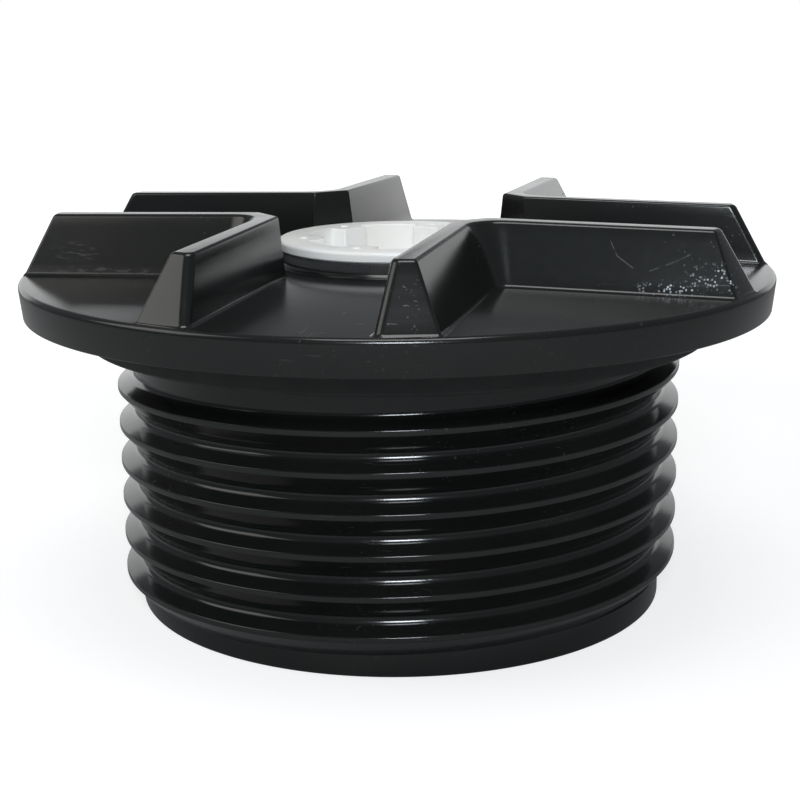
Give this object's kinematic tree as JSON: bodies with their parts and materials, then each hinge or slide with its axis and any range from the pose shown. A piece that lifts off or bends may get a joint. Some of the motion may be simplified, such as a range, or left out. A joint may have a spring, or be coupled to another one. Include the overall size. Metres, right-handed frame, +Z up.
{
  "type": "tank lid",
  "caption": "Round screw-in tank lid with a coarse outer thread, V-shaped wrench lugs, a seal ring and a central white closing plug.",
  "frame": {"origin": "on the lid's axis, at the foot of the skirt that it stands on", "axes": "+Z up along the axis, out of the tank; the walls of the wrench lugs run along X and Y, and a lug stands on each diagonal"},
  "size_m": [0.2198, 0.2198, 0.1158],
  "materials": {
    "lid_black": "moulded black plastic, semi-gloss, lightly scuffed",
    "gasket_rubber": "matt black rubber",
    "plug_white": "moulded white plastic, satin"
  },
  "bodies": {
    "lid": {"lid_body": "lid_black", "lid_gasket": "gasket_rubber"},
    "plug_seal": {"plug_gasket": "gasket_rubber"},
    "plug": {"plug": "plug_white"}
  },
  "joints": [
    {"name": "plug_lift", "type": "slide", "parent": "lid", "child": "plug_seal", "axis": [0, 0, 1], "range_m": [0, 0.0155]},
    {"name": "plug_turn", "type": "hinge", "parent": "plug_seal", "child": "plug", "pos_m": [0, 0, 0.1], "axis": [0, 0, 1], "range_deg": [0, 2520]}
  ],
  "couplings": [
    {"joint": "plug_lift", "follows": "plug_turn", "m_per_rad": 0.00035156}
  ]
}
